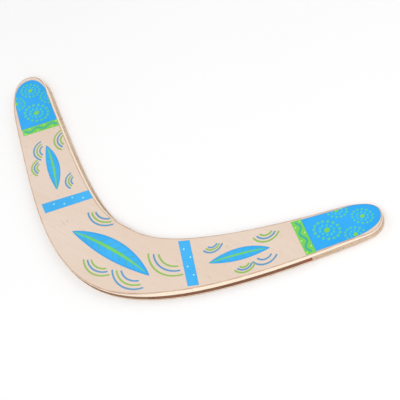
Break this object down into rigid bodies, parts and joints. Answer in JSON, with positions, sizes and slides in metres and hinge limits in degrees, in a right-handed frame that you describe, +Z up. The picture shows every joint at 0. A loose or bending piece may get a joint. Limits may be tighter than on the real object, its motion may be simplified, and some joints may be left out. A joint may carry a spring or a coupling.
{
  "type": "boomerang",
  "caption": "Flat two-winged toy boomerang cut from three-ply wood, with rounded tips, a wide bend and sloped trailing edges.",
  "frame": {"origin": "centre of the board's bounding box on its bottom face", "axes": "+Z up out of the printed face, +X towards the right wing's tip, +Y towards the open side of the bend"},
  "size_m": [0.285, 0.1192, 0.005],
  "materials": {
    "top_veneer": "sanded and thinly lacquered",
    "bottom_veneer": "sanded",
    "core_dark": "cut end grain",
    "core_pale": "cut end grain",
    "glue_film": "hardened glue",
    "print_blue": "screen-printed ink",
    "print_green": "screen-printed ink"
  },
  "bodies": {
    "root": {"bottom_veneer": "bottom_veneer", "lower_glue_film": "glue_film", "core_strip_left": "core_pale", "core_strip_middle": "core_dark", "core_strip_right": "core_pale", "upper_glue_film": "glue_film", "top_veneer": "top_veneer"}
  },
  "joints": []
}
